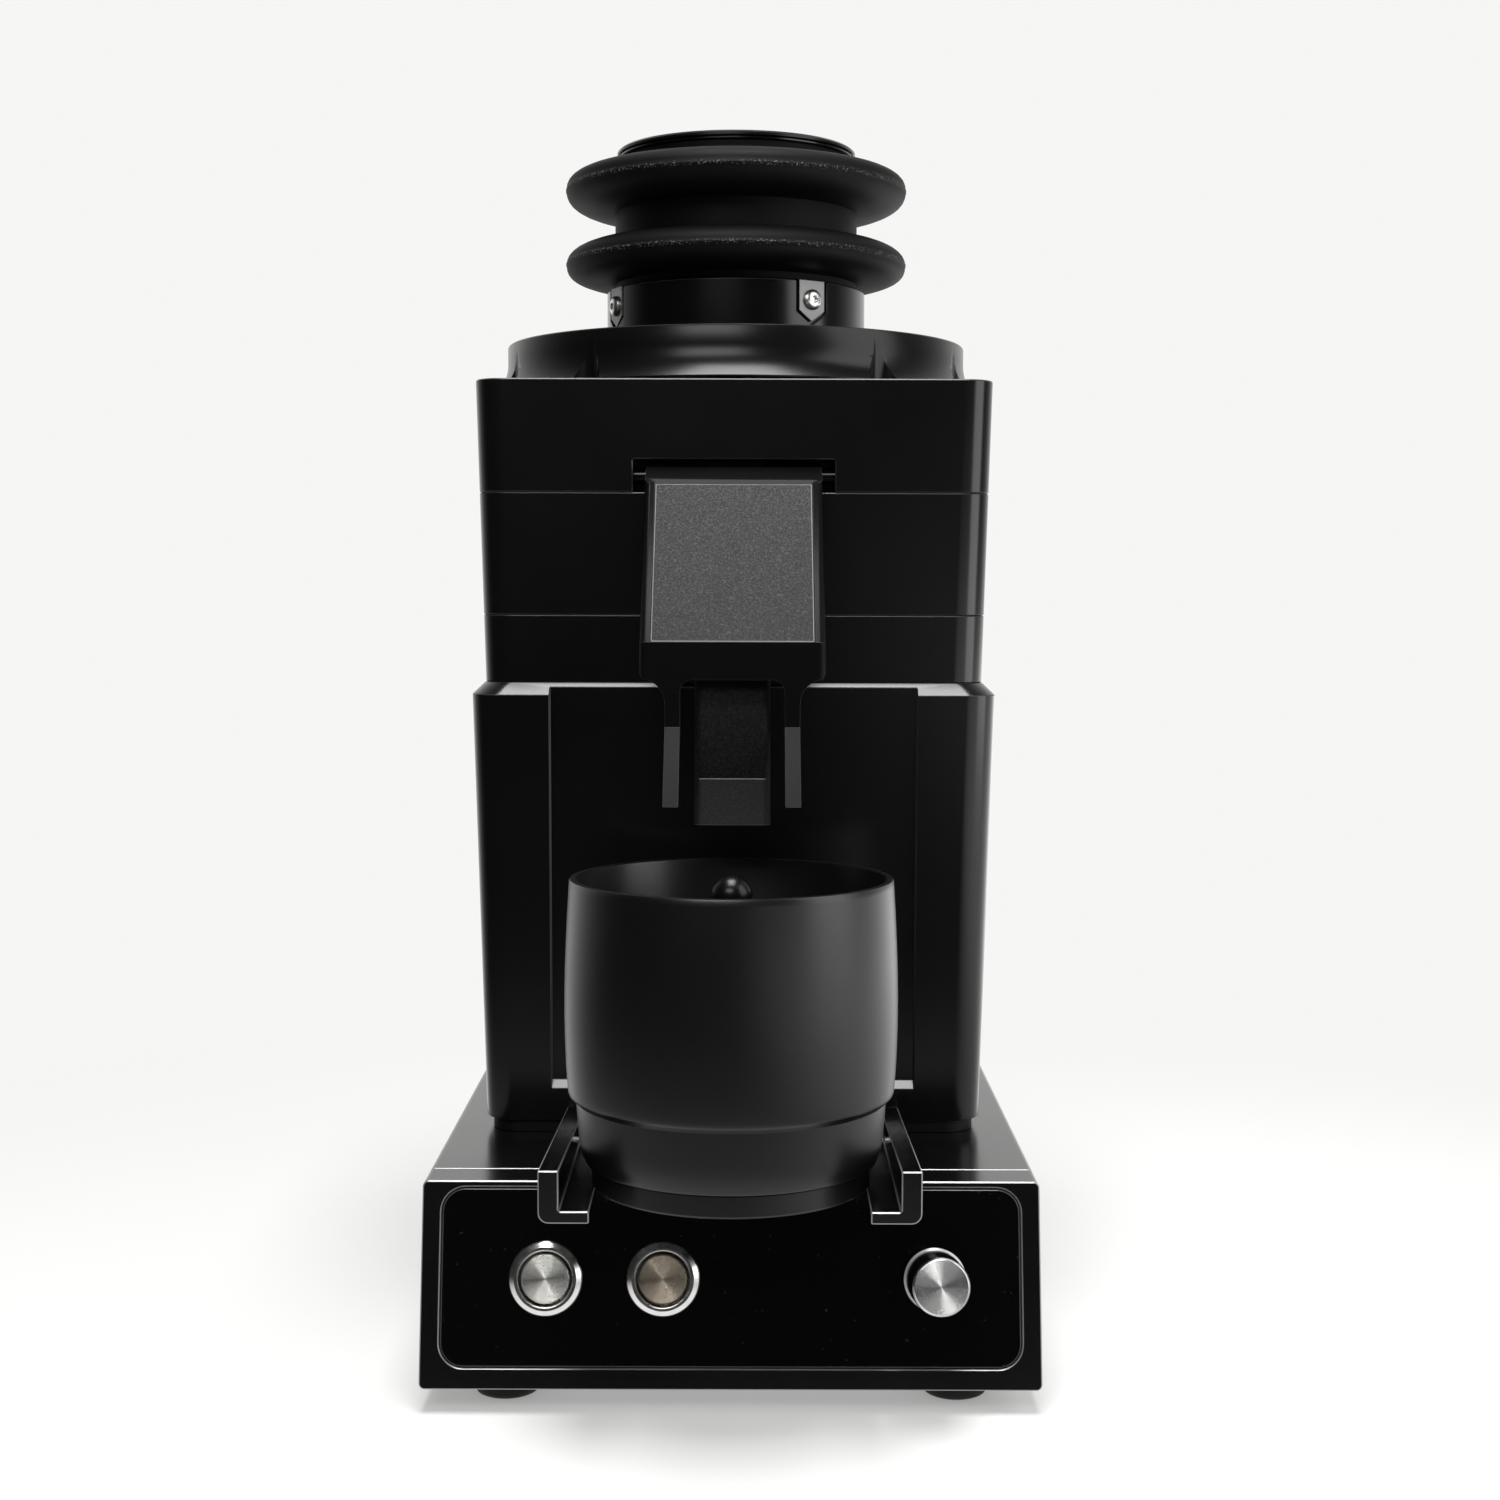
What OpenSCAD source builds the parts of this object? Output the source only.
// Single-dose burr coffee grinder with a bellows hopper, a knocker lever,
// a dosing cup on a fork and a sloped control base.
// Millimetres, Z up, front facing -Y. Every module is drawn about the burr
// axis (x = 0, y = 0) and at_burr() moves it back so that the origin is under
// the middle of the whole machine, on the table.

/* [Base] */
// Width of the base box
base_w = 149; // [146:1:170]
// Height of the base box above its feet
base_h = 48; // [46:1:60]
// Distance from the burr axis to the foot of the sloped front
base_front = 125; // [118:1:140]
// Distance from the burr axis to the back of the base
base_back = 76; // [76:1:100]
// Backward slope of the control face, degrees from upright
front_slope = 12; // [6:1:16]
// Depth of the front bezel, from its face to the seam with the base shell
bezel_t = 11.2; // [10:0.2:14]
// Wall thickness of the base shell and bezel
base_wall = 3; // [2:0.5:4]
// Thickness of the bottom plate
base_plate_t = 2; // [1.5:0.5:3]
// Height of the rubber feet
foot_h = 6; // [5:0.5:10]
// Diameter of the rubber feet
foot_d = 16; // [12:1:20]
// Distance of the feet from the centre plane
foot_x = 55; // [45:1:60]

/* [Control panel] */
// Width of the gloss panel
panel_w = 139; // [134:1:140]
// Height of the gloss panel, measured along the slope
panel_h = 41.8; // [40:0.2:42]
// Thickness of the gloss panel
panel_t = 2.5; // [2:0.5:4]
// Corner radius of the gloss panel
panel_r = 5.5; // [3:0.5:8]
// Distance from the bottom edge of the slope to the panel
panel_lift = 5.4; // [4:0.2:6]
// Gap round the panel in its pocket
panel_gap = 0.3; // [0.1:0.1:0.6]
// Height of the button and knob centres, measured along the slope
control_lift = 26; // [24:0.5:28]
// Places of the power button, grind button and speed knob across the panel
power_x = -44.5; // [-50:0.5:-38]
grind_x = -16.3; // [-22:0.5:-12]
knob_x = 49; // [40:0.5:54]
// Diameter of the button flanges
button_flange_d = 17.8; // [17.4:0.2:20]
// Diameter of the button barrels
button_barrel_d = 15.8; // [15:0.2:16]
// Diameter of the button caps
button_cap_d = 11.8; // [11:0.2:12.6]
// Gap round a button cap
button_gap = 0.65; // [0.2:0.05:0.8]
// How far a button cap travels
button_travel = 1.5; // [1:0.1:2]
// Diameter of the speed knob at the panel
knob_d = 15; // [13:0.5:18]
// Height of the speed knob
knob_h = 17.3; // [14:0.1:22]
// Diameter of the potentiometer shaft
pot_shaft_d = 6; // [5:0.5:6.5]

/* [Housing and blocks] */
// Width of the motor housing at its shoulder
housing_w = 136.3; // [134:0.1:140]
// Depth of the motor housing at its shoulder
housing_d = 141.8; // [140:0.1:145]
// Height of the motor housing
housing_h = 115; // [112:1:125]
// Wall thickness of the motor housing
housing_wall = 5; // [4:0.5:7]
// Thickness of the plate at the top of the motor housing
housing_deck = 8; // [6:0.5:10]
// Chamfer round the top of the motor housing
shoulder = 3.1; // [2.5:0.1:3.5]
// Corner radius of the housing and the blocks
corner_r = 8; // [5:0.5:12]
// Draft of the housing and block sides, degrees
draft = 1.5; // [0:0.1:1.8]
// Height of the dark plinth under the housing
plinth_h = 3.5; // [2:0.5:6]
// Width of the shallow recess in the housing front
recess_w = 95; // [88:1:100]
// Depth of the shallow recess in the housing front
recess_depth = 2; // [1:0.5:3]
// Height of the solid band under the recess
recess_sill = 8.5; // [6:0.5:14]
// Width of the blocks at the top
block_w = 134; // [134:0.5:138]
// Depth of the blocks at the top
block_d = 139; // [137:0.5:142]
// Height of the chamber block
chamber_h = 17.5; // [17:0.5:22]
// Height of the middle block
middle_h = 31.5; // [31:0.5:36]
// Height of the top block
top_h = 29; // [29:0.5:34]

/* [Burrs and motor] */
// Outer diameter of the flat burrs
burr_d = 64; // [60:1:66]
// Thickness of one burr
burr_t = 4; // [3.5:0.5:5]
// Gap between the burrs at the set grind
burr_gap = 0.8; // [0.7:0.1:1]
// Diameter of the grinding chamber
chamber_d = 84; // [82:1:88]
// Diameter of the motor shaft
shaft_d = 12; // [10:1:12]
// Diameter of the motor
motor_d = 100; // [90:1:104]
// Length of the motor body
motor_h = 80; // [60:1:84]
// Diameter of the bean throat at the burrs
throat_d = 34; // [32:1:36]

/* [Dial and hopper] */
// Diameter of the dial rim
dial_rim_d = 129.8; // [126:0.2:131]
// Diameter of the dial at its foot
dial_foot_d = 136.4; // [134:0.2:138]
// Height of the dial
dial_h = 14; // [14:0.5:18]
// Radius of the cove that sweeps the side of the dial out to its foot
dial_cove_r = 12.5; // [9:0.5:14]
// Radius of the finger pockets
dial_pocket_r = 4.8; // [4:0.2:6]
// Outer diameter of the hopper collar
collar_d = 73.4; // [72:0.2:78]
// Inner diameter of the hopper collar
collar_bore_d = 60; // [56:1:62]
// Height of the hopper collar
collar_h = 14.9; // [14.5:0.1:20]
// Width of the clamp plates
clamp_w = 8.6; // [8:0.2:10]
// Outer diameter of the bellows lobes
bellows_d = 96.8; // [92:0.2:104]
// Diameter of the bellows at its neck
bellows_neck_d = 68.6; // [66:0.2:72]
// Height of one bellows lobe
lobe_h = 12; // [11:0.2:14]
// Height of the neck between the lobes
neck_h = 8.4; // [6:0.2:10]
// Wall thickness of the bellows
bellows_wall = 2.4; // [2:0.2:3]
// Diameter of the lid
lid_d = 67.6; // [66:0.2:72]
// Thickness of the lid
lid_t = 1.6; // [1.2:0.1:3]

/* [Lever and chute] */
// Width of the lever
lever_w = 44.9; // [43:0.1:47]
// Thickness of the lever metal
lever_t = 4.5; // [4:0.1:5]
// Width of the flat plate let into the lever
lever_plate_w = 39.5; // [36:0.5:41]
// Thickness of the flat plate let into the lever
lever_plate_t = 1; // [0.6:0.1:1.5]
// Width over the two prongs
prong_span = 32.6; // [31:0.2:34]
// Thickness of each prong
prong_t = 3.65; // [3:0.05:4]
// Diameter of the hinge pin
hinge_pin_d = 4; // [3:0.5:4.5]
// Outer width of the chute
chute_w = 18.4; // [17:0.2:19]
// Wall thickness of the chute
chute_wall = 1.6; // [1.2:0.1:2]

/* [Cup and fork] */
// Outer diameter of the cup rim
cup_rim_d = 76; // [74:0.2:77]
// How far the barrel of the cup swells beyond its rim, on the radius
cup_swell = 1.2; // [0.6:0.1:2]
// Outer diameter of the cup foot ring
cup_foot_d = 65.6; // [65:0.2:69]
// Height of the cup foot ring
cup_foot_h = 5.7; // [5:0.1:7]
// Height of the cup above its foot ring
cup_body_h = 66.8; // [64:0.2:70]
// Wall thickness of the cup
cup_wall = 1.8; // [1.4:0.1:2.4]
// Distance from the burr axis to the cup axis
cup_reach = 124.5; // [123:0.5:127]
// Diameter of the ball knob on the plunger
ball_d = 10; // [8:0.5:12]
// Outer width of the fork
fork_w = 86.7; // [86:0.1:92]
// Thickness of the fork rails
rail_t = 4.7; // [3:0.1:4.8]
// Clear width between the two fork feet
fork_slot_w = 63.6; // [60:0.2:64]
// Thickness of the fork feet
fork_foot_t = 2.8; // [2:0.1:4]
// Height of the rails at their front ends
rail_front_h = 12.1; // [9:0.1:14]
// Height of the rails at the housing
rail_back_h = 7.1; // [6:0.1:9]
// Distance from the burr axis to the front ends of the rails
rail_reach = 151; // [146:1:156]

/* [Hidden] */
$fn = 64;

// Finishes
anodised = "#1c1c1e";
gloss_black = "#08080a";
steel = "#b9bcc0";
dark_steel = "#6d7075";
rubber_black = "#151515";
board_green = "#1f5a3a";
brass_yellow = "#b08d3a";
copper = "#a8622f";
grey_face = "#55565a";

// Clearances
slip = 0.05;        // running fit, on the radius
part_gap = 0.3;     // between curved faces of pieces that move past each other
cut = 1;            // how far a cutting tool runs past a face

// Levels, from the table up
base_top = foot_h + base_h;
plinth_top = base_top + plinth_h;
housing_top = plinth_top + housing_h;
chamber_top = housing_top + chamber_h;
middle_top = chamber_top + middle_h;
block_top = middle_top + top_h;

// Base
slope_len = base_h / cos(front_slope);
web_t = base_wall;                        // metal behind the panel
pocket_depth = panel_t;
inlet_flange_t = 1.5;
inlet_w = 27;
inlet_h = 20;
inlet_x = 38;
inlet_z = foot_h + base_h / 2;
inlet_depth = 22;
inlet_flange = [32, 26];
socket_depth = 16;
socket_w = 23.4;
socket_h = 16;
pin_size = [2, 10, 4];
pin_places = [[-7, -2], [0, 2], [7, -2]];
foot_front_y = -base_front + 17;
foot_back_y = base_back - 16;
foot_screw_r = 2;

// Controls, measured square to the sloped face
button_flange_t = 1.8;
button_edge = 0.8;
button_barrel_l = 26;
button_bore_l = 5;
stem_r = 3;
stem_l = 9;
nut_t = 2.5;
pot_bush_r = pot_shaft_d / 2 + 0.9;
pot_can_r = 8.2;
pot_can_l = 9;
pot_shaft_grip = 12;                      // how far the shaft reaches into the knob
knob_lift = 0.6;
knob_cap_t = 1.2;

// Electrics
board_w = 100;
board_d = 45;
board_y = -85;
board_t = 1.6;
standoff_h = 8;
supply_w = 80;
supply_d = 80;
supply_h = 32;
supply_x = -62;
supply_y = -28;

// Housing and blocks: half sizes shrink downwards by the draft
housing_bolt = 54;
housing_bolt_r = 2.5;
block_bolt = 44;
block_bolt_r = 2;
function drawn_in(h) = 2 * h * tan(draft);
function block_depth_at(z) = block_d - drawn_in(block_top - z);
housing_front = housing_d / 2 - drawn_in(housing_h - shoulder) / 2;   // at its bottom edge

// Grinding chamber, from its floor up
chamber_floor = housing_top + 8.5;
rotor_disc_z = chamber_floor + 7;
rotor_disc_t = 6;
lower_burr_z = rotor_disc_z + rotor_disc_t;
upper_burr_z = lower_burr_z + burr_t + burr_gap;
holder_z = upper_burr_z + burr_t;
holder_flange_t = 6;
holder_top = holder_z + holder_flange_t;
chamber_r = chamber_d / 2;
shaft_r = shaft_d / 2;
neck_r = collar_bore_d / 2 + 3.9;          // outside of the holder neck
guide_pin_r = 1.8;
guide_pin_ring = neck_r + 4.1;             // radius of the ring of guide pins
holder_flange_r = chamber_r - 0.4;
hopper_bore_r = collar_bore_d / 2 - 3;
burr_hole_r = throat_d / 2 + 2;

// Motor hangs from the deck of the housing
motor_top = housing_top - housing_deck;
motor_z = motor_top - motor_h;
motor_wall = 3;
end_bell_t = 6;
bearing_h = 8;
motor_bearing_r = 13;
main_bearing_r = 14;

// Dial, caught between the thrust washer and the retainer
dial_z = block_top + 0.5;
dial_top = dial_z + dial_h;
dial_edge = 0.6;                            // foot band and top chamfer
dial_flare = (dial_foot_d - dial_rim_d) / 2;
cove_z = dial_z + dial_edge + sqrt(dial_flare * (2 * dial_cove_r - dial_flare));
dial_hollow_r = dial_rim_d / 2 - 7;
dial_web_t = 5;
dial_pockets = 10;
dial_plain = 70.4;                          // degrees of rim left without a pocket
sleeve_bore_r = neck_r + part_gap;
sleeve_r = sleeve_bore_r + 6;
sleeve_flange_r = sleeve_r + 5.4;
sleeve_flange_t = 4.4;
washer_t = 1.2;
washer_z = middle_top + 15.5;
sleeve_z = washer_z + washer_t;
retainer_z = sleeve_z + sleeve_flange_t + 0.6;
retainer_t = 5;
retainer_r = sleeve_flange_r + 9.1;
retainer_ring = sleeve_flange_r + 4.4;
retainer_screw_r = 1.5;
retainer_seat_z = retainer_z - 0.2;

// Hopper
collar_lift = 0.9;                          // room for the grind adjustment
collar_z = dial_top + collar_lift;
collar_top = collar_z + collar_h;
collar_r = collar_d / 2;
clamp_angles = [35, -66, 164];              // from the front towards +X
clamp_t = 1.4;
clamp_face = collar_r - 0.2;
clamp_shoulder_z = collar_z + 6.6;
clamp_tip_z = collar_z + 3.7;
clamp_screw_z = collar_z + 9.6;
clamp_screw_r = 1.5;
clamp_slot_gap = 0.8;
lobe_r = lobe_h / 2;
lobe_ring = bellows_d / 2 - lobe_r;         // radius to the centre of the lobe edge
bellows_foot_h = 1.8;                       // plain ring under the lower lobe
bellows_head_h = 3.2;                       // plain ring over the upper lobe
lobe_low_z = collar_top + bellows_foot_h + lobe_r;
lobe_high_z = lobe_low_z + lobe_h + neck_h;
bellows_top = lobe_high_z + lobe_r + bellows_head_h;
bellows_mouth_r = collar_bore_d / 2;
bellows_head_r = bellows_mouth_r + bellows_wall;
ring_t = 0.7;
lid_z = bellows_top + ring_t;
lid_plug_r = bellows_mouth_r - 4.3;
press_travel = 20;

// Lever, as a side outline: places are [y, z]
hinge_y = -block_depth_at(middle_top) / 2 + 6.4;
hinge_z = middle_top + 4.5;
knuckle_r = hinge_pin_d / 2 + 1.5;
knuckle_in = 8;                             // half width of the spring gap
face_top = [-79, middle_top + 1.9];
face_bottom = [-109, chamber_top - 6];
prong_bend = [-109, housing_top - 9];
prong_end = [-122.4, housing_top - 27];
prong_in = prong_span / 2 - prong_t;
shoulder_z = housing_top + 2.7;
apron_z = housing_top + 2.4;
notch_w = 52;
notch_h = 8.5;
notch_depth = 11.5;
hinge_pin_l = notch_w + 8;

// Chute, as two side outlines from the block to the outlet
chute_back_y = -block_depth_at(chamber_top) / 2;
chute_end_z = housing_top - 32;
chute_front = [
    [chute_back_y - 1, housing_top + 16.3], [-87, housing_top + 15],
    [-98, housing_top + 10], [-105.3, housing_top + 0.2],
    [-108, housing_top - 8], [-108, chute_end_z + 10.5],
    [-115, chute_end_z]
];
chute_rear = [
    [-99, chute_end_z], [-94, chute_end_z + 9.5], [-93.5, housing_top - 10],
    [-85, housing_top - 1.4], [chute_back_y - 1, housing_top + 2]
];
chute_flange_t = 2;
chute_flange_w = chute_w + 12;
chute_screw_x = chute_w / 2 + 3.2;
chute_screw_z = housing_top + 10;
chute_screw_r = 1.25;

// Cup and fork
fork_z = base_top;
fork_back_y = -housing_front - 0.3;
cup_d = cup_rim_d + 2 * cup_swell;
cup_z = fork_z + fork_foot_t;
cup_seam = cup_z + cup_foot_h;
cup_top = cup_seam + cup_body_h;
barrel_z = cup_seam + 15.8;
cup_bowl_r = cup_foot_d / 2 + 2.5;          // foot of the bowl, over its rounded corner
cup_neck_r = cup_rim_d / 2 - 1.1;
cup_shelf_z = cup_seam + 3.8;               // seat of the plunger cone
cup_hole_r = 16;
plunger_r = 18.7;
rod_r = 2.5;
ball_z = cup_top - 4.4;
cross_plate_t = 3;
cross_plate_l = 17;
fork_screw_x = 25;
fork_screw_r = 2;
fork_corner_r = 2.4;

// The origin is under the middle of the machine, front to back
reach_front = cup_reach + cup_d / 2;
reach_back = base_back + inlet_flange_t;
burr_y = (reach_front - reach_back) / 2;

module at_burr() { translate([0, burr_y, 0]) children(); }

// ---- shared shapes ----

// Upright tube or disc between two levels
module ring_at(z, h, r_out, r_in = 0) {
    translate([0, 0, z])
        difference() {
            cylinder(h = h, r = r_out);
            if (r_in > 0) translate([0, 0, -cut]) cylinder(h = h + 2 * cut, r = r_in);
        }
}

// Upright hole, run past both faces
module hole_at(x, y, z, h, r) {
    translate([x, y, z - cut]) cylinder(h = h + 2 * cut, r = r);
}

// Rectangle with round corners, centred
module rounded_rect(w, d, r) {
    square([w - 2 * r, d], center = true);
    square([w, d - 2 * r], center = true);
    for (x = [-1, 1], y = [-1, 1])
        translate([x * (w / 2 - r), y * (d / 2 - r)]) circle(r = r);
}

// Block whose sides lean out by the draft; w and d are its top sizes
module drafted_block(w, d, h, r) {
    bottom_w = w - drawn_in(h);
    bottom_d = d - drawn_in(h);
    linear_extrude(height = h, scale = [w / bottom_w, d / bottom_d], slices = 1)
        rounded_rect(bottom_w, bottom_d, r, $fn = 48);
}

// One layer of the block stack between two levels
module block_layer(z0, z1) {
    top_in = drawn_in(block_top - z1);
    translate([0, 0, z0]) drafted_block(block_w - top_in, block_d - top_in, z1 - z0, corner_r);
}

// The same thing at the four corners of a square
module four_corners(x, y) {
    for (i = [-1, 1], j = [-1, 1]) translate([i * x, j * y, 0]) children();
}

// Cap screw pointing down, head on top, its head seat at the origin
module cap_screw(r, l) {
    translate([0, 0, -l]) cylinder(h = l, r = r);
    difference() {
        cylinder(h = 2 * r, r = 1.85 * r);
        translate([0, 0, r]) cylinder(h = 2 * r, r = r, $fn = 6);
    }
}

// Places a child on the sloped face: x across, s up the slope, z outwards
module on_slope(x, s) {
    translate([x, -base_front + s * sin(front_slope), foot_h + s * cos(front_slope)])
        rotate([90 - front_slope, 0, 0]) children();
}

function slope_y(z) = -base_front + (z - foot_h) * tan(front_slope);

// ---- base ----

// Side outline of the base, from one distance behind the slope to another
module base_side(y_from, y_to, z0, z1) {
    polygon([
        [slope_y(z0) + y_from, z0], [slope_y(z1) + y_from, z1],
        [y_to < 0 ? slope_y(z1) - y_to : y_to, z1],
        [y_to < 0 ? slope_y(z0) - y_to : y_to, z0]
    ]);
}

// Runs a side outline across the machine
module across(w) {
    rotate([90, 0, 90]) translate([0, 0, -w / 2]) linear_extrude(height = w) children();
}

module base_shell() color(anodised) at_burr() {
    difference() {
        across(base_w) base_side(bezel_t, base_back, foot_h, base_top);
        across(base_w - 2 * base_wall)
            base_side(bezel_t - cut, base_back - base_wall, foot_h - cut, base_top - base_wall);
        hole_at(0, 0, base_top - base_wall, base_wall, 20);
        four_corners(housing_bolt, housing_bolt)
            hole_at(0, 0, base_top - base_wall, base_wall, housing_bolt_r + slip);
        for (x = [-1, 1])
            hole_at(x * fork_screw_x, fork_back_y - cross_plate_l / 2,
                    base_top - base_wall, base_wall, fork_screw_r + slip);
        translate([inlet_x - inlet_w / 2, base_back - base_wall - cut, inlet_z - inlet_h / 2])
            cube([inlet_w, base_wall + 2 * cut, inlet_h]);
    }
}

module front_bezel() color(anodised) at_burr() {
    inner = pocket_depth + web_t;
    difference() {
        across(base_w) base_side(0, -bezel_t, foot_h, base_top);
        across(base_w - 2 * base_wall)
            base_side(inner / cos(front_slope), -bezel_t - cut, foot_h - cut, base_top - base_wall);
        on_slope(0, panel_lift + panel_h / 2)
            translate([0, 0, -pocket_depth])
                linear_extrude(height = pocket_depth + cut)
                    rounded_rect(panel_w + 2 * panel_gap, panel_h + 2 * panel_gap,
                                 panel_r + panel_gap);
        for (x = [power_x, grind_x])
            on_slope(x, control_lift)
                translate([0, 0, -inner - cut])
                    cylinder(h = inner, r = button_barrel_d / 2 + slip);
        on_slope(knob_x, control_lift)
            translate([0, 0, -inner - cut]) cylinder(h = inner, r = pot_shaft_d / 2 + 1);
    }
}

module base_plate() color(anodised) at_burr() {
    front_y = slope_y(foot_h) + (pocket_depth + web_t) / cos(front_slope) + 0.6;
    back_y = base_back - base_wall - 0.2;
    half_w = base_w / 2 - base_wall - 0.2;
    difference() {
        union() {
            translate([-half_w, front_y, foot_h])
                cube([2 * half_w, back_y - front_y, base_plate_t]);
            for (x = [-board_w / 2 + 5, board_w / 2 - 5], y = [board_y + 5, board_y + board_d - 5])
                translate([x, y, foot_h + base_plate_t]) cylinder(h = standoff_h, r = 3);
        }
        for (x = [-foot_x, foot_x], y = [foot_front_y, foot_back_y])
            hole_at(x, y, foot_h, base_plate_t, foot_screw_r + slip);
    }
}

module rubber_feet() color(rubber_black) at_burr() {
    for (x = [-foot_x, foot_x], y = [foot_front_y, foot_back_y])
        translate([x, y, 0])
            difference() {
                union() {
                    cylinder(h = 1, r1 = foot_d / 2 - 1, r2 = foot_d / 2);
                    translate([0, 0, 1]) cylinder(h = foot_h - 1, r = foot_d / 2);
                }
                translate([0, 0, -cut]) cylinder(h = foot_h / 2 + cut, r = 2 * foot_screw_r + 0.4);
                cylinder(h = foot_h + cut, r = foot_screw_r + slip);
            }
}

module foot_screws() color(steel) at_burr() {
    for (x = [-foot_x, foot_x], y = [foot_front_y, foot_back_y])
        translate([x, y, foot_h / 2]) {
            cylinder(h = foot_h / 2 + base_plate_t + 2, r = foot_screw_r);
            translate([0, 0, -1.6]) cylinder(h = 1.6, r = 2 * foot_screw_r);
        }
}

// ---- control panel ----

module control_panel() color(gloss_black) at_burr() {
    difference() {
        on_slope(0, panel_lift + panel_h / 2)
            translate([0, 0, -panel_t])
                linear_extrude(height = panel_t) rounded_rect(panel_w, panel_h, panel_r);
        for (x = [power_x, grind_x])
            on_slope(x, control_lift)
                translate([0, 0, -panel_t - cut])
                    cylinder(h = panel_t + 2 * cut, r = button_barrel_d / 2 + slip);
        on_slope(knob_x, control_lift)
            translate([0, 0, -panel_t - cut])
                cylinder(h = panel_t + 2 * cut, r = pot_shaft_d / 2 + 1);
    }
}

module button_housing(x) {
    on_slope(x, control_lift)
        difference() {
            union() {
                cylinder(h = button_flange_t - button_edge, r = button_flange_d / 2);
                translate([0, 0, button_flange_t - button_edge])
                    cylinder(h = button_edge, r1 = button_flange_d / 2,
                             r2 = button_flange_d / 2 - button_edge);
                translate([0, 0, -button_barrel_l])
                    cylinder(h = button_barrel_l, r = button_barrel_d / 2);
            }
            translate([0, 0, -button_bore_l])
                cylinder(h = button_bore_l + button_flange_t + cut, r = button_cap_d / 2 + button_gap);
            translate([0, 0, -button_bore_l - stem_l])
                cylinder(h = stem_l + cut, r = stem_r + slip);
        }
}

module button_cap(x) {
    on_slope(x, control_lift) {
        translate([0, 0, -button_travel])
            cylinder(h = button_travel + button_flange_t - 0.2, r = button_cap_d / 2);
        translate([0, 0, -button_travel - stem_l]) cylinder(h = stem_l, r = stem_r);
    }
}

module power_button_housing() color(steel) at_burr() button_housing(power_x);
module grind_button_housing() color(steel) at_burr() button_housing(grind_x);
module power_button_cap() color(steel) at_burr() button_cap(power_x);
module grind_button_cap() color(steel) at_burr() button_cap(grind_x);

module panel_nut(x, hole_r) {
    on_slope(x, control_lift)
        translate([0, 0, -pocket_depth - web_t - nut_t])
            difference() {
                cylinder(h = nut_t, r = hole_r * 1.3, $fn = 6);
                translate([0, 0, -cut]) cylinder(h = nut_t + 2 * cut, r = hole_r + slip);
            }
}

module panel_nuts() color(steel) at_burr() {
    for (x = [power_x, grind_x]) panel_nut(x, button_barrel_d / 2);
}

module potentiometer() color(dark_steel) at_burr() {
    behind = pocket_depth + web_t;
    on_slope(knob_x, control_lift)
        difference() {
            union() {
                translate([0, 0, -behind - pot_can_l]) cylinder(h = pot_can_l, r = pot_can_r);
                translate([0, 0, -behind]) cylinder(h = behind, r = pot_bush_r);
                translate([-4, -12, -behind - 4]) cube([8, 8, 1.5]);
            }
            translate([0, 0, -behind - 6]) cylinder(h = behind + 6 + cut, r = pot_shaft_d / 2 + slip);
        }
}

module pot_shaft() color(steel) at_burr() {
    behind = pocket_depth + web_t;
    on_slope(knob_x, control_lift)
        translate([0, 0, -behind - 5])
            cylinder(h = behind + 5 + pot_shaft_grip, r = pot_shaft_d / 2);
}

module speed_knob() color(gloss_black) at_burr() {
    on_slope(knob_x, control_lift)
        difference() {
            translate([0, 0, knob_lift])
                cylinder(h = knob_h - knob_lift, r1 = knob_d / 2, r2 = knob_d / 2 - 0.6);
            cylinder(h = pot_shaft_grip, r = pot_shaft_d / 2);
        }
}

module knob_cap() color(steel) at_burr() {
    on_slope(knob_x, control_lift)
        translate([0, 0, knob_h]) {
            cylinder(h = knob_cap_t - 0.4, r = knob_d / 2 - 0.8);
            translate([0, 0, knob_cap_t - 0.4])
                cylinder(h = 0.4, r1 = knob_d / 2 - 0.8, r2 = knob_d / 2 - 1.2);
        }
}

// ---- electrics ----

module control_board() color(board_green) at_burr() {
    translate([-board_w / 2, board_y, foot_h + base_plate_t + standoff_h]) {
        cube([board_w, board_d, board_t]);
        translate([8, 26, board_t]) cube([40, 14, 12]);
        translate([60, 25, board_t]) cylinder(h = 14, r = 6);
        translate([76, 25, board_t]) cylinder(h = 14, r = 6);
        translate([10, 4, board_t]) cube([22, 8, 8]);
        translate([60, 3, board_t]) cube([30, 10, 7]);
    }
}

module power_supply() color(dark_steel) at_burr() {
    translate([supply_x, supply_y, foot_h + base_plate_t])
        cube([supply_w, supply_d, supply_h]);
}

module power_inlet() color(gloss_black) at_burr() {
    translate([inlet_x, base_back, inlet_z])
        rotate([-90, 0, 0])
            difference() {
                union() {
                    linear_extrude(height = inlet_flange_t)
                        rounded_rect(inlet_flange[0], inlet_flange[1], 3);
                    translate([0, 0, -inlet_depth])
                        linear_extrude(height = inlet_depth)
                            square([inlet_w - 0.2, inlet_h - 0.2], center = true);
                }
                translate([0, 0, inlet_flange_t - socket_depth])
                    linear_extrude(height = socket_depth + cut)
                        rounded_rect(socket_w, socket_h, 2);
            }
}

module inlet_pins() color(brass_yellow) at_burr() {
    floor_y = base_back + inlet_flange_t - socket_depth;
    for (p = pin_places)
        translate([inlet_x + p[0] - pin_size[0] / 2, floor_y, inlet_z + p[1] - pin_size[2] / 2])
            cube(pin_size);
}

// ---- motor housing ----

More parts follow.
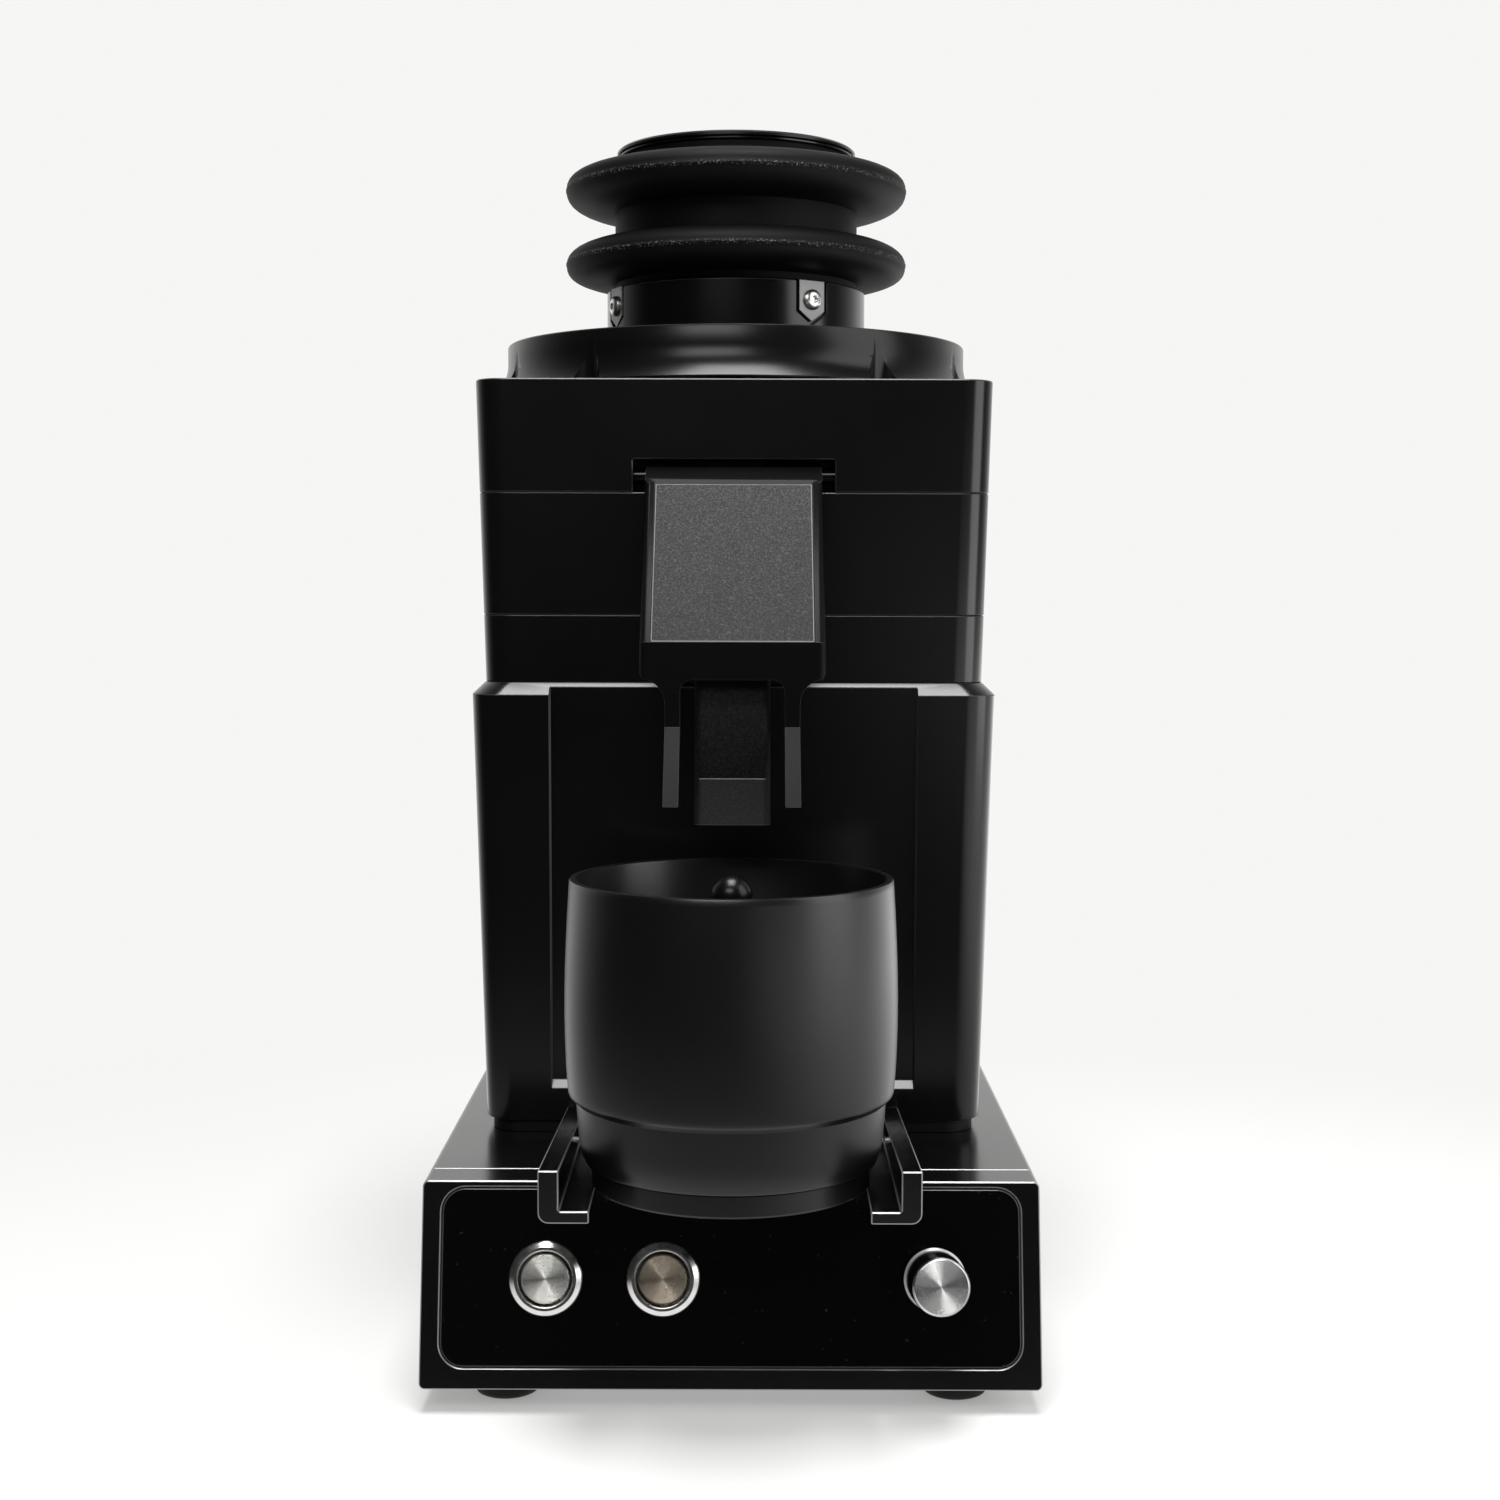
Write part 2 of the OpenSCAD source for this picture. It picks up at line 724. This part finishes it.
module plinth() color(gloss_black) at_burr() {
    inset = 1.5;
    w = housing_w - drawn_in(housing_h - shoulder) - 2 * inset;
    d = housing_d - drawn_in(housing_h - shoulder) - 2 * inset;
    difference() {
        translate([0, 0, base_top]) linear_extrude(height = plinth_h) rounded_rect(w, d, corner_r);
        hole_at(0, 0, base_top, plinth_h, 30);
        four_corners(housing_bolt, housing_bolt)
            hole_at(0, 0, base_top, plinth_h, housing_bolt_r + slip);
    }
}

module motor_housing() color(anodised) at_burr() {
    body_h = housing_h - shoulder;
    bottom_w = housing_w - drawn_in(body_h);
    bottom_d = housing_d - drawn_in(body_h);
    cave_w = bottom_w - 2 * housing_wall;
    cave_d = bottom_d - 2 * housing_wall;
    difference() {
        union() {
            translate([0, 0, plinth_top]) drafted_block(housing_w, housing_d, body_h, corner_r);
            translate([0, 0, plinth_top + body_h])
                linear_extrude(height = shoulder, slices = 1,
                               scale = [1 - 2 * shoulder / housing_w, 1 - 2 * shoulder / housing_d])
                    rounded_rect(housing_w, housing_d, corner_r, $fn = 48);
        }
        difference() {
            translate([0, 0, plinth_top - cut])
                linear_extrude(height = housing_h - housing_deck + cut)
                    rounded_rect(cave_w, cave_d, 4);
            four_corners(housing_bolt, housing_bolt)
                translate([0, 0, plinth_top - 2 * cut]) cylinder(h = 22, r = 7.5);
        }
        four_corners(housing_bolt, housing_bolt) hole_at(0, 0, plinth_top, 20, housing_bolt_r + slip);
        four_corners(block_bolt, block_bolt)
            hole_at(0, 0, housing_top - housing_deck, housing_deck, block_bolt_r + slip);
        hole_at(0, 0, housing_top - housing_deck, housing_deck, shaft_r + 4);
        // shallow recess in the front, open at the top, with a sloped sill
        translate([0, -housing_front, plinth_top]) rotate([draft, 0, 0])
            translate([-recess_w / 2, 0, recess_sill])
                rotate([90, 0, 90]) linear_extrude(height = recess_w)
                    polygon([
                        [-cut, -cut], [recess_depth, recess_depth],
                        [recess_depth, housing_h], [-cut - 2, housing_h], [-cut - 2, -cut]
                    ]);
    }
}

// Screws through the base top: four up into the housing, two down from the fork
module base_screws() color(steel) at_burr() {
    four_corners(housing_bolt, housing_bolt)
        translate([0, 0, base_top - base_wall]) {
            cylinder(h = base_wall + plinth_h + 14, r = housing_bolt_r);
            translate([0, 0, -3]) cylinder(h = 3, r = 2 * housing_bolt_r);
        }
    for (x = [-1, 1])
        translate([x * fork_screw_x, fork_back_y - cross_plate_l / 2, 0]) {
            translate([0, 0, fork_z - base_wall - 2])
                cylinder(h = cross_plate_t + base_wall + 2 - fork_screw_r, r = fork_screw_r);
            translate([0, 0, fork_z + cross_plate_t - fork_screw_r])
                cylinder(h = fork_screw_r, r1 = fork_screw_r, r2 = 2 * fork_screw_r);
        }
}

// ---- motor ----

module motor_can() color(dark_steel) at_burr() {
    difference() {
        ring_at(motor_z, motor_h, motor_d / 2, shaft_r + 2);
        translate([0, 0, motor_z - cut])
            cylinder(h = motor_h - 5 + cut, r = motor_d / 2 - motor_wall);
    }
}

module end_bell() color(dark_steel) at_burr() {
    difference() {
        union() {
            ring_at(motor_z - end_bell_t, end_bell_t, motor_d / 2);
            ring_at(motor_z, 5, motor_bearing_r + 4);
        }
        hole_at(0, 0, motor_z - end_bell_t, end_bell_t + 5, motor_bearing_r + slip);
    }
}

module stator() color(copper) at_burr() {
    ring_at(motor_z + 14, motor_h - 28, motor_d / 2 - motor_wall - 0.05, motor_d / 2 - 17);
}

module rotor() color(steel) at_burr() {
    ring_at(motor_z + 16, motor_h - 32, motor_d / 2 - 17.8, shaft_r);
}

module motor_shaft() color(steel) at_burr() {
    ring_at(motor_z - end_bell_t, rotor_disc_z + 17 - motor_z + end_bell_t, shaft_r);
}

module bearing(z, r) {
    ring_at(z, bearing_h, r, shaft_r + slip);
}

module motor_bearing() color(steel) at_burr()
    bearing(motor_z - end_bell_t + 2, motor_bearing_r);

module main_bearing() color(steel) at_burr() bearing(housing_top, main_bearing_r);

// ---- grinding chamber ----

module block_bolt_holes(z0, z1) {
    four_corners(block_bolt, block_bolt) hole_at(0, 0, z0, z1 - z0, block_bolt_r + slip);
}

module chamber_block() color(anodised) at_burr() {
    difference() {
        block_layer(housing_top, chamber_top);
        translate([0, 0, chamber_floor]) cylinder(h = chamber_h, r = chamber_r);
        hole_at(0, 0, housing_top, chamber_h, shaft_r + 0.5);
        translate([0, 0, housing_top - cut]) cylinder(h = bearing_h + cut, r = main_bearing_r + slip);
        block_bolt_holes(housing_top, chamber_top);
        translate([-chute_w / 2 + chute_wall, -block_d / 2 - cut, housing_top + 2 + chute_wall])
            cube([chute_w - 2 * chute_wall, block_d / 2 - 22, 12.4]);
        for (x = [-1, 1])
            translate([x * chute_screw_x, chute_back_y + 8, chute_screw_z])
                rotate([90, 0, 0]) cylinder(h = 12, r = chute_screw_r + slip);
    }
}

module middle_block() color(anodised) at_burr() {
    difference() {
        block_layer(chamber_top, middle_top);
        hole_at(0, 0, chamber_top, middle_h, chamber_r);
        block_bolt_holes(chamber_top, middle_top);
    }
}

module top_block() color(anodised) at_burr() {
    difference() {
        block_layer(middle_top, block_top);
        hole_at(0, 0, middle_top, top_h, neck_r + part_gap);
        translate([0, 0, washer_z]) cylinder(h = top_h, r = sleeve_flange_r + part_gap);
        translate([0, 0, retainer_seat_z]) cylinder(h = top_h, r = retainer_r + slip);
        block_bolt_holes(middle_top, block_top);
        four_corners(block_bolt, block_bolt)
            translate([0, 0, block_top - 5]) cylinder(h = 5 + cut, r = 2 * block_bolt_r);
        for (a = [60, 180, 300])
            rotate([0, 0, a]) {
                translate([guide_pin_ring, 0, middle_top - cut]) cylinder(h = 11 + cut, r = guide_pin_r);
                translate([retainer_ring, 0, retainer_seat_z - 7])
                    cylinder(h = 7 + cut, r = retainer_screw_r + slip);
            }
        // notch for the lever and the holes for its pin
        translate([-notch_w / 2, -block_d / 2 - cut, middle_top - cut])
            cube([notch_w, block_d / 2 - block_depth_at(middle_top) / 2 + notch_depth + cut,
                  notch_h + cut]);
        translate([-hinge_pin_l / 2, hinge_y, hinge_z])
            rotate([0, 90, 0]) cylinder(h = hinge_pin_l, r = hinge_pin_d / 2 + slip);
    }
}

module block_screws() color(steel) at_burr() {
    four_corners(block_bolt, block_bolt)
        translate([0, 0, block_top - 5])
            cap_screw(block_bolt_r, block_top - 5 - housing_top + housing_deck);
}

module burr_rotor() color(steel) at_burr() {
    difference() {
        union() {
            ring_at(chamber_floor + 0.4, rotor_disc_z - chamber_floor, shaft_r + 6);
            ring_at(rotor_disc_z, rotor_disc_t, chamber_r - 4);
            for (a = [0, 120, 240])
                rotate([0, 0, a]) translate([shaft_r + 14, -1.5, chamber_floor + 1])
                    cube([chamber_r - shaft_r - 15.5, 3, rotor_disc_z - chamber_floor]);
        }
        hole_at(0, 0, chamber_floor, rotor_disc_t + 10, shaft_r);
    }
}

// Flat burr with slanted radial cutting grooves on one face
module flat_burr(z, face_z, teeth = 16) {
    difference() {
        ring_at(z, burr_t, burr_d / 2, burr_hole_r);
        for (i = [0 : teeth - 1])
            rotate([0, 0, i * 360 / teeth])
                translate([burr_hole_r + 1, 2, face_z]) rotate([45, 0, 12])
                    cube([burr_d / 2, 1.1, 1.1], center = false);
    }
}

module lower_burr() color(steel) at_burr() flat_burr(lower_burr_z, lower_burr_z + burr_t - 0.78);
module upper_burr() color(steel) at_burr() flat_burr(upper_burr_z, upper_burr_z - 0.78);

module pre_breaker() color(steel) at_burr() {
    z = lower_burr_z;
    h = 20;
    difference() {
        union() {
            ring_at(z, h, shaft_r + 2.5);
            translate([0, 0, z + 1]) linear_extrude(height = h - 2, twist = -80, slices = 10)
                square([throat_d - 5, 3], center = true);
        }
        hole_at(0, 0, z - cut, rotor_disc_z + 17 - z, shaft_r);
    }
}

module burr_holder() color(dark_steel) at_burr() {
    difference() {
        union() {
            ring_at(holder_z, holder_flange_t, holder_flange_r);
            ring_at(holder_top, dial_top - 15 - holder_top, neck_r);
        }
        hole_at(0, 0, holder_z, 12, throat_d / 2);
        translate([0, 0, holder_top])
            cylinder(h = dial_top - 30 - holder_top, r1 = throat_d / 2, r2 = hopper_bore_r);
        hole_at(0, 0, dial_top - 30, 15, hopper_bore_r);
        for (a = [60, 180, 300])
            rotate([0, 0, a])
                hole_at(guide_pin_ring, 0, holder_z, holder_flange_t, guide_pin_r + slip);
    }
}

module guide_pins() color(steel) at_burr() {
    for (a = [60, 180, 300])
        rotate([0, 0, a]) translate([guide_pin_ring, 0, holder_z + 1])
            cylinder(h = middle_top + 11 - holder_z - 1, r = guide_pin_r);
}

module preload_spring() color(steel) at_burr() {
    ring_at(holder_top, middle_top - holder_top, neck_r + 2, neck_r + 0.4);
}

// ---- dial ----

module dial_ring() color(anodised) at_burr() {
    difference() {
        union() {
            ring_at(dial_z, cove_z - dial_z, dial_foot_d / 2);
            ring_at(dial_z, dial_h - dial_edge, dial_rim_d / 2);
            translate([0, 0, dial_top - dial_edge])
                cylinder(h = dial_edge, r1 = dial_rim_d / 2, r2 = dial_rim_d / 2 - dial_edge);
            ring_at(sleeve_z, dial_z - sleeve_z, sleeve_r);
            ring_at(sleeve_z, sleeve_flange_t, sleeve_flange_r);
        }
        rotate_extrude()
            translate([dial_rim_d / 2 + dial_cove_r, cove_z]) circle(r = dial_cove_r);
        translate([0, 0, dial_z - cut])
            difference() {
                cylinder(h = dial_h - dial_web_t + cut, r = dial_hollow_r);
                translate([0, 0, -cut]) cylinder(h = dial_h, r = sleeve_r);
            }
        hole_at(0, 0, sleeve_z, dial_top - sleeve_z, sleeve_bore_r);
        // finger pockets, with a wider place left plain at the front
        for (i = [0 : dial_pockets - 1])
            rotate([0, 0, dial_plain / 2 + i * (360 - dial_plain) / (dial_pockets - 1) - 90])
                translate([dial_rim_d / 2 - 0.1 + dial_pocket_r, 0, dial_z - cut])
                    cylinder(h = cove_z - dial_z + 2 * cut, r = dial_pocket_r);
    }
}

module dial_retainer() color(dark_steel) at_burr() {
    difference() {
        ring_at(retainer_seat_z, retainer_t, retainer_r, sleeve_r + part_gap);
        for (a = [60, 180, 300])
            rotate([0, 0, a]) {
                hole_at(retainer_ring, 0, retainer_seat_z, retainer_t, retainer_screw_r + slip);
                translate([retainer_ring, 0, retainer_seat_z + retainer_t - 3.2])
                    cylinder(h = 3.2 + cut, r = 2 * retainer_screw_r);
            }
    }
}

module retainer_screws() color(steel) at_burr() {
    for (a = [60, 180, 300])
        rotate([0, 0, a])
            translate([retainer_ring, 0, retainer_seat_z + retainer_t - 3.2])
                cap_screw(retainer_screw_r, retainer_t + 3);
}

module thrust_washer() color(brass_yellow) at_burr() {
    ring_at(washer_z, washer_t, sleeve_flange_r, sleeve_bore_r + 0.4);
}

// ---- hopper ----

// Home-plate outline of a clamp plate, from its tip up to its top
module clamp_outline(gap = 0) {
    half = clamp_w / 2 + gap;
    polygon([
        [0, clamp_tip_z - 1.4 * gap], [half, clamp_shoulder_z - gap / 2],
        [half, collar_top + gap], [-half, collar_top + gap], [-half, clamp_shoulder_z - gap / 2]
    ]);
}

// Puts a child drawn on the front of the collar at each clamp's azimuth
module at_clamps() {
    for (a = clamp_angles) rotate([0, 0, a]) children();
}

module hopper_collar() color(anodised) at_burr() {
    difference() {
        union() {
            ring_at(collar_z, collar_h, collar_r);
            ring_at(dial_top - 15, 15 + collar_lift, neck_r);
        }
        hole_at(0, 0, collar_z, collar_h, collar_bore_d / 2);
        hole_at(0, 0, dial_top - 15, 16, hopper_bore_r);
        at_clamps() {
            translate([0, -clamp_face + clamp_t, 0]) rotate([90, 0, 0])
                linear_extrude(height = 2 * clamp_t) clamp_outline(clamp_slot_gap);
            translate([0, -collar_bore_d / 2, clamp_screw_z])
                rotate([90, 0, 0]) cylinder(h = 10, r = clamp_screw_r + slip);
        }
    }
}

module clamp_plates() color(steel) at_burr() {
    at_clamps()
        difference() {
            translate([0, -clamp_face + clamp_t, 0]) rotate([90, 0, 0])
                linear_extrude(height = clamp_t) clamp_outline();
            translate([0, -collar_bore_d / 2, clamp_screw_z])
                rotate([90, 0, 0]) cylinder(h = 10, r = clamp_screw_r + slip);
        }
}

module clamp_screws() color(steel) at_burr() {
    head_r = 2.8;
    at_clamps()
        translate([0, -clamp_face, clamp_screw_z]) rotate([90, 0, 0])
            difference() {
                union() {
                    translate([0, 0, -4]) cylinder(h = 4, r = clamp_screw_r);
                    cylinder(h = 0.7, r = head_r);
                    translate([0, 0, 0.7]) cylinder(h = 0.6, r1 = head_r, r2 = head_r - 1);
                }
                translate([0, 0, 0.4]) cylinder(h = 2, r = 0.9, $fn = 6);
            }
}

// Half section of the bellows, grown inwards or outwards by one wall
module bellows_section(inset) {
    for (z = [lobe_low_z, lobe_high_z]) {
        translate([0, z - lobe_r + inset]) square([lobe_ring, lobe_h - 2 * inset]);
        translate([lobe_ring, z]) circle(r = lobe_r - inset);
    }
    translate([0, lobe_low_z]) square([bellows_neck_d / 2 - inset, lobe_high_z - lobe_low_z]);
}

// Plain rings that stand on the collar and carry the bellows' ring
module bellows_ends() {
    translate([0, collar_top]) square([bellows_neck_d / 2, bellows_foot_h + bellows_wall]);
    translate([0, bellows_top - bellows_head_h - bellows_wall])
        square([bellows_head_r, bellows_head_h + bellows_wall]);
}

module bellows() color(rubber_black) at_burr() {
    rotate_extrude()
        difference() {
            union() {
                bellows_section(0);
                bellows_ends();
            }
            bellows_section(bellows_wall);
            translate([-2 * bellows_mouth_r, collar_top - cut])
                square([3 * bellows_mouth_r, bellows_top - collar_top + 2 * cut]);
        }
}

module bellows_ring() color(anodised) at_burr() {
    difference() {
        union() {
            ring_at(bellows_top - bellows_wall, bellows_wall, bellows_mouth_r - part_gap);
            ring_at(bellows_top, ring_t, lid_d / 2 - 0.6);
        }
        hole_at(0, 0, bellows_top - bellows_wall, bellows_wall + ring_t, lid_plug_r + part_gap);
    }
}

module lid() color(anodised) at_burr() {
    ring_at(lid_z - 5, 5, lid_plug_r);
    ring_at(lid_z, lid_t - 0.4, lid_d / 2);
    translate([0, 0, lid_z + lid_t - 0.4])
        cylinder(h = 0.4, r1 = lid_d / 2, r2 = lid_d / 2 - 0.4);
}

// ---- chute ----

module chute() color(grey_face) at_burr() {
    slide_in = [for (p = chute_front) [p[0] + chute_wall, p[1] - chute_wall]];
    slide_out = [for (p = chute_rear) [p[0] - chute_wall, p[1] + chute_wall]];
    back = chute_back_y;
    difference() {
        union() {
            across(chute_w) polygon(concat([[back, chute_front[0][1]]], chute_front, chute_rear,
                                           [[back, chute_rear[4][1]]]));
            translate([-chute_flange_w / 2, back - chute_flange_t, housing_top + 2])
                cube([chute_flange_w, chute_flange_t, 14.3]);
        }
        across(chute_w - 2 * chute_wall)
            polygon(concat(
                [[back + cut, slide_in[0][1]]], slide_in, [[slide_in[6][0], chute_end_z - 3]],
                [[slide_out[0][0], chute_end_z - 3]], slide_out,
                [[back + cut, slide_out[4][1]]]));
        for (x = [-1, 1])
            translate([x * chute_screw_x, back + cut, chute_screw_z])
                rotate([90, 0, 0]) cylinder(h = 10, r = chute_screw_r + slip);
    }
}

module chute_screws() color(steel) at_burr() {
    for (x = [-1, 1])
        translate([x * chute_screw_x, chute_back_y - chute_flange_t, chute_screw_z])
            rotate([90, 0, 0]) {
                translate([0, 0, -9]) cylinder(h = 9, r = chute_screw_r);
                cylinder(h = 1.6, r = 1.85 * chute_screw_r);
            }
}

// ---- lever ----

// Unit vectors along the sloped face, and square to it towards the machine
face_len = norm(face_bottom - face_top);
face_dir = (face_bottom - face_top) / face_len;
face_in = [-face_dir[1], face_dir[0]];
tip_dir = (prong_end - prong_bend) / norm(prong_end - prong_bend);
tip_in = [-tip_dir[1], tip_dir[0]];
bend_in = prong_bend[0] + lever_t;

// Where a line through p along d crosses y = y0 or z = z0
function at_y(p, d, y0) = [y0, p[1] + d[1] * (y0 - p[0]) / d[0]];
function at_z(p, d, z0) = [p[0] + d[0] * (z0 - p[1]) / d[1], z0];

module lever_side() {
    face_back = face_top + lever_t * face_in;
    tip_back = prong_end + lever_t * tip_in;
    polygon([
        [hinge_y, hinge_z + knuckle_r], [-block_depth_at(middle_top) / 2 - 1, hinge_z + 1.6],
        face_top, face_bottom, prong_bend, prong_end,
        at_z(tip_back, tip_dir, prong_end[1]),
        at_y(tip_back, tip_dir, bend_in), at_y(face_back, face_dir, bend_in),
        face_back, [-block_depth_at(middle_top) / 2 - 2.2, hinge_z - knuckle_r],
        [hinge_y, hinge_z - knuckle_r]
    ]);
}

module lever() color(anodised) at_burr() {
    fillet_r = lever_w / 2 - prong_span / 2;
    difference() {
        union() {
            across(lever_w) lever_side();
            translate([-lever_w / 2, hinge_y, hinge_z])
                rotate([0, 90, 0]) cylinder(h = lever_w, r = knuckle_r);
        }
        translate([-lever_w / 2 - cut, hinge_y, hinge_z])
            rotate([0, 90, 0]) cylinder(h = lever_w + 2 * cut, r = hinge_pin_d / 2 + slip);
        // gap for the spring between the two knuckles
        translate([-knuckle_in, hinge_y - knuckle_r - 1, hinge_z - knuckle_r - cut])
            cube([2 * knuckle_in, 2 * knuckle_r + 2, 2 * (knuckle_r + cut)]);
        // slot between the prongs, with round upper corners
        translate([0, face_bottom[0] - 30, 0]) rotate([-90, 0, 0]) linear_extrude(height = 60)
            rotate([180, 0, 0]) {
                translate([-prong_in + 3, 0]) square([2 * prong_in - 6, apron_z]);
                translate([-prong_in, 0]) square([2 * prong_in, apron_z - 3]);
                for (x = [-1, 1]) translate([x * (prong_in - 3), apron_z - 3]) circle(r = 3);
            }
        // outside of the prongs, swept up into the shoulders
        for (side = [-1, 1])
            translate([0, face_bottom[0] - 30, 0]) rotate([-90, 0, 0]) linear_extrude(height = 60)
                rotate([180, 0, 0]) {
                    translate([side * lever_w / 2, shoulder_z - fillet_r]) circle(r = fillet_r);
                    translate([side * (lever_w / 2 + 1) - 1 - fillet_r / 2 - side * fillet_r / 2,
                               0])
                        square([fillet_r + 2, shoulder_z - fillet_r]);
                }
        // seat for the flat plate
        lever_plate_shape(slip, lever_plate_t);
    }
}

// Flat plate on the sloped face, grown by a gap and lifted proud of the seat
module lever_plate_shape(gap = 0, lift = 0) {
    deep = lever_plate_t + gap;
    across(lever_plate_w + 2 * gap)
        polygon([
            face_top - lift * face_in, face_top + deep * face_in,
            face_bottom + deep * face_in, face_bottom - lift * face_in
        ]);
}

module lever_plate() color(grey_face) at_burr() lever_plate_shape();

module hinge_pin() color(steel) at_burr() {
    translate([-hinge_pin_l / 2, hinge_y, hinge_z])
        rotate([0, 90, 0]) cylinder(h = hinge_pin_l, r = hinge_pin_d / 2);
}

module lever_spring() color(steel) at_burr() {
    spring_l = 2 * knuckle_in - 1;
    translate([-spring_l / 2, hinge_y, hinge_z]) rotate([0, 90, 0])
        difference() {
            cylinder(h = spring_l, r = hinge_pin_d / 2 + 1.2);
            translate([0, 0, -cut]) cylinder(h = spring_l + 2 * cut, r = hinge_pin_d / 2 + slip);
        }
}

// ---- fork ----

module fork_rail_section() {
    outer = fork_w / 2;
    difference() {
        union() {
            translate([outer - rail_t, 0]) square([rail_t, rail_front_h]);
            translate([fork_slot_w / 2, 0]) square([outer - fork_slot_w / 2, fork_foot_t]);
        }
        translate([outer - fork_corner_r, 0])
            difference() {
                translate([0, -cut]) square([fork_corner_r + cut, fork_corner_r + cut]);
                translate([0, fork_corner_r]) circle(r = fork_corner_r);
            }
    }
}

module cup_fork() color(anodised) at_burr() {
    rail_l = rail_reach + fork_back_y;
    difference() {
        union() {
            intersection() {
                for (side = [0, 1])
                    mirror([side, 0, 0])
                        translate([0, fork_back_y, fork_z]) rotate([90, 0, 0])
                            linear_extrude(height = rail_l) fork_rail_section();
                across(fork_w + 2 * cut)
                    polygon([
                        [fork_back_y, fork_z], [fork_back_y, fork_z + rail_back_h],
                        [-rail_reach, fork_z + rail_front_h], [-rail_reach, fork_z]
                    ]);
            }
            translate([-fork_w / 2 + rail_t, fork_back_y - cross_plate_l, fork_z])
                cube([fork_w - 2 * rail_t, cross_plate_l, cross_plate_t]);
        }
        for (x = [-1, 1])
            translate([x * fork_screw_x, fork_back_y - cross_plate_l / 2, 0]) {
                hole_at(0, 0, fork_z, cross_plate_t, fork_screw_r + slip);
                translate([0, 0, fork_z + cross_plate_t - fork_screw_r])
                    cylinder(h = fork_screw_r + 0.01, r1 = fork_screw_r + slip,
                             r2 = 2 * fork_screw_r + slip);
            }
    }
}

// ---- dosing cup ----

module at_cup() { translate([0, -cup_reach, 0]) children(); }

// Outline points of the cup's outside, from the seam up: bowl, then barrel
function bowl_curve(steps) = [
    for (i = [0 : steps])
        let (t = i / steps)
        [
            cup_bowl_r + (cup_neck_r - cup_bowl_r) * t
                - (cup_bowl_r - cup_foot_d / 2 - 0.1) * pow(1 - min(t / 0.3, 1), 2),
            cup_seam + t * (barrel_z - cup_seam)
        ]
];
function barrel_curve(steps) = [
    for (i = [0 : steps])
        let (t = i / steps, mid = 0.38)
        [
            cup_d / 2 - (t < mid ? 0.8 * pow((mid - t) / mid, 2)
                                 : cup_swell * pow((t - mid) / (1 - mid), 2)),
            barrel_z + 0.6 + t * (cup_top - barrel_z - 0.6)
        ]
];

module cup_body() color(anodised) at_burr() at_cup() {
    inner_r = cup_rim_d / 2 - cup_wall;
    rotate_extrude($fn = 96)
        difference() {
            polygon(concat([[0, cup_seam]], bowl_curve(20), barrel_curve(12), [[0, cup_top]]));
            polygon([
                [-cut, cup_top + cut], [inner_r, cup_top + cut], [inner_r, barrel_z + 5],
                [plunger_r + part_gap, cup_shelf_z], [-cut, cup_shelf_z]
            ]);
            translate([-cut, cup_seam - cut]) square([cup_hole_r + cut, cup_shelf_z - cup_seam + 2 * cut]);
        }
}

module cup_foot() color(anodised) at_burr() at_cup() {
    ring_at(cup_z, cup_foot_h, cup_foot_d / 2, cup_hole_r + 4);
}

module cup_plunger() color(anodised) at_burr() at_cup() {
    ring_at(cup_shelf_z, 1, plunger_r);
    translate([0, 0, cup_shelf_z + 1]) cylinder(h = 10, r1 = plunger_r, r2 = rod_r);
    ring_at(cup_shelf_z + 11, ball_z - cup_shelf_z - 11, rod_r);
    translate([0, 0, ball_z]) sphere(r = ball_d / 2);
}

base_shell();
front_bezel();
base_plate();
rubber_feet();
foot_screws();
control_panel();
power_button_housing();
power_button_cap();
grind_button_housing();
grind_button_cap();
panel_nuts();
potentiometer();
pot_shaft();
speed_knob();
knob_cap();
control_board();
power_supply();
power_inlet();
inlet_pins();
plinth();
motor_housing();
base_screws();
motor_can();
end_bell();
stator();
rotor();
motor_shaft();
motor_bearing();
main_bearing();
chamber_block();
middle_block();
top_block();
block_screws();
burr_rotor();
lower_burr();
pre_breaker();
burr_holder();
upper_burr();
guide_pins();
preload_spring();
dial_ring();
dial_retainer();
retainer_screws();
thrust_washer();
hopper_collar();
clamp_plates();
clamp_screws();
bellows();
bellows_ring();
lid();
chute();
chute_screws();
lever();
lever_plate();
hinge_pin();
lever_spring();
cup_fork();
cup_body();
cup_foot();
cup_plunger();
